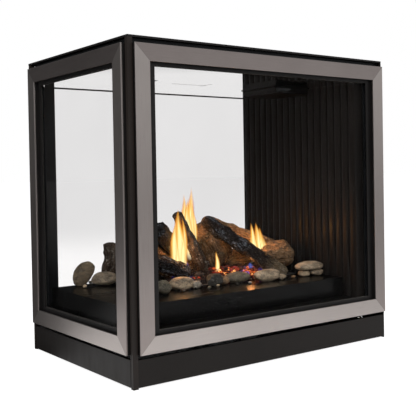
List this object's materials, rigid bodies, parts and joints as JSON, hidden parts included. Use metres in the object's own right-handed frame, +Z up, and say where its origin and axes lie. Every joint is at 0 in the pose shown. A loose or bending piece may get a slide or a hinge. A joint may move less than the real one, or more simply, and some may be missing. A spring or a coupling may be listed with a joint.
{
  "type": "gas fireplace",
  "caption": "Peninsula see-through gas fireplace with steel-faced lift-off glass doors, drop-down base panels, a fluted end liner, and ceramic logs and river stones on a glossy platform.",
  "frame": {"origin": "on the floor, under the middle of the whole outline", "axes": "+X along the long front towards the closed end, +Y from the front to the back, +Z up"},
  "size_m": [1.092, 0.714, 1.05],
  "materials": {
    "facing_steel": "satin, brushed along each member",
    "black_metal": "satin black powder coat",
    "brown_metal": "satin dark bronze powder coat",
    "liner_black": "semi-gloss heat-proof black",
    "gloss_black": "high-gloss black",
    "polished_sheet": "mirror polished underside",
    "galvanised": "plain coated sheet",
    "aluminium": "as cast",
    "brass": "turned",
    "glass": "clear ceramic glass",
    "rope": "woven glass-fibre rope",
    "knob_plastic": "satin",
    "red_plastic": "gloss",
    "embers": "rough glowing media",
    "charred_log": "rough, painted as charred wood",
    "brown_log": "rough, painted as driftwood",
    "bark_log": "rough, painted as bark",
    "grey_stone": "smooth, river worn",
    "tan_stone": "smooth, river worn"
  },
  "bodies": {
    "fireplace": {"base_pan": "galvanised", "corner_post_front_left": "brown_metal", "corner_post_back_left": "brown_metal", "end_panel": "black_metal", "top_casing": "black_metal", "vent_collar_outer": "galvanised", "vent_collar_inner": "galvanised", "firebox_surround": "black_metal", "firebox_shell": "black_metal", "end_liner_fluted": "liner_black", "firebox_ceiling": "polished_sheet", "exhaust_baffle": "liner_black", "media_platform": "gloss_black", "burner_assembly": "galvanised", "ember_bed": "embers", "gas_valve": "aluminium", "control_bracket": "galvanised", "shutoff_valve_body": "brass", "gas_supply_tube": "galvanised", "burner_supply_tube": "aluminium", "burner_orifice": "brass", "pilot_assembly": "galvanised", "log_low_left": "charred_log", "log_brown_left": "brown_log", "log_charred_round": "charred_log", "log_branch_leaning": "bark_log", "log_mossy": "brown_log", "log_charred_long": "charred_log", "log_rear_right": "brown_log", "log_stout_right": "brown_log", "log_upright_left": "bark_log", "river_stones_left": "grey_stone", "river_stones_front_left": "grey_stone", "river_stones_beige": "tan_stone", "river_stones_middle": "grey_stone", "river_stones_front": "tan_stone", "river_stones_right": "tan_stone"},
    "pilot_knob": {"pilot_knob": "knob_plastic"},
    "flame_knob": {"flame_knob": "knob_plastic"},
    "igniter_button": {"igniter_button": "red_plastic"},
    "rocker_switch_key": {"rocker_switch_key": "knob_plastic"},
    "shutoff_lever": {"shutoff_lever": "red_plastic"},
    "air_shutter": {"air_shutter": "galvanised"},
    "relief_flap_left": {"relief_flap_left": "galvanised"},
    "relief_flap_right": {"relief_flap_right": "galvanised"},
    "front_door": {"front_door_facing": "facing_steel", "front_door_frame": "black_metal", "front_door_glass": "glass", "front_door_gasket": "rope"},
    "front_access_panel": {"front_access_panel": "brown_metal"},
    "left_door": {"left_door_facing": "facing_steel", "left_door_frame": "black_metal", "left_door_glass": "glass", "left_door_gasket": "rope"},
    "left_access_panel": {"left_access_panel": "brown_metal"},
    "back_door": {"back_door_facing": "facing_steel", "back_door_frame": "black_metal", "back_door_glass": "glass", "back_door_gasket": "rope"},
    "back_access_panel": {"back_access_panel": "brown_metal"}
  },
  "joints": [
    {"name": "front_door_lift_off", "type": "slide", "parent": "fireplace", "child": "front_door", "axis": [0, -1, 0], "range_m": [0, 0.09]},
    {"name": "left_door_lift_off", "type": "slide", "parent": "fireplace", "child": "left_door", "axis": [-1, 0, 0], "range_m": [0, 0.09]},
    {"name": "back_door_lift_off", "type": "slide", "parent": "fireplace", "child": "back_door", "axis": [0, 1, 0], "range_m": [0, 0.09]},
    {"name": "front_panel_hinge", "type": "hinge", "parent": "fireplace", "child": "front_access_panel", "pos_m": [0.012, -0.3385, 0.009], "axis": [1, 0, 0], "range_deg": [0, 88]},
    {"name": "left_panel_hinge", "type": "hinge", "parent": "fireplace", "child": "left_access_panel", "pos_m": [-0.5275, 0, 0.009], "axis": [0, -1, 0], "range_deg": [0, 88]},
    {"name": "back_panel_hinge", "type": "hinge", "parent": "fireplace", "child": "back_access_panel", "pos_m": [0.012, 0.3385, 0.009], "axis": [-1, 0, 0], "range_deg": [0, 88]},
    {"name": "pilot_knob_turn", "type": "hinge", "parent": "fireplace", "child": "pilot_knob", "pos_m": [-0.272, -0.303, 0.063], "axis": [0, 1, 0], "range_deg": [0, 180]},
    {"name": "flame_knob_turn", "type": "hinge", "parent": "fireplace", "child": "flame_knob", "pos_m": [-0.226, -0.303, 0.063], "axis": [0, 1, 0], "range_deg": [0, 110]},
    {"name": "igniter_press", "type": "slide", "parent": "fireplace", "child": "igniter_button", "axis": [0, 1, 0], "range_m": [0, 0.005], "stiffness_N_per_m": 400},
    {"name": "rocker_switch_tilt", "type": "hinge", "parent": "fireplace", "child": "rocker_switch_key", "pos_m": [-0.102, -0.285, 0.063], "axis": [1, 0, 0], "range_deg": [0, 20]},
    {"name": "shutoff_turn", "type": "hinge", "parent": "fireplace", "child": "shutoff_lever", "pos_m": [0.428, -0.2455, 0.045], "axis": [0, 1, 0], "range_deg": [0, 90]},
    {"name": "air_shutter_turn", "type": "hinge", "parent": "fireplace", "child": "air_shutter", "pos_m": [0.076, 0.03, 0.1124], "axis": [0, 0, 1], "range_deg": [0, 60]},
    {"name": "relief_flap_left_hinge", "type": "hinge", "parent": "fireplace", "child": "relief_flap_left", "pos_m": [-0.304, -0.045, 0.9433], "axis": [1, 0, 0], "range_deg": [0, 40]},
    {"name": "relief_flap_right_hinge", "type": "hinge", "parent": "fireplace", "child": "relief_flap_right", "pos_m": [-0.064, -0.045, 0.9433], "axis": [1, 0, 0], "range_deg": [0, 40]}
  ]
}
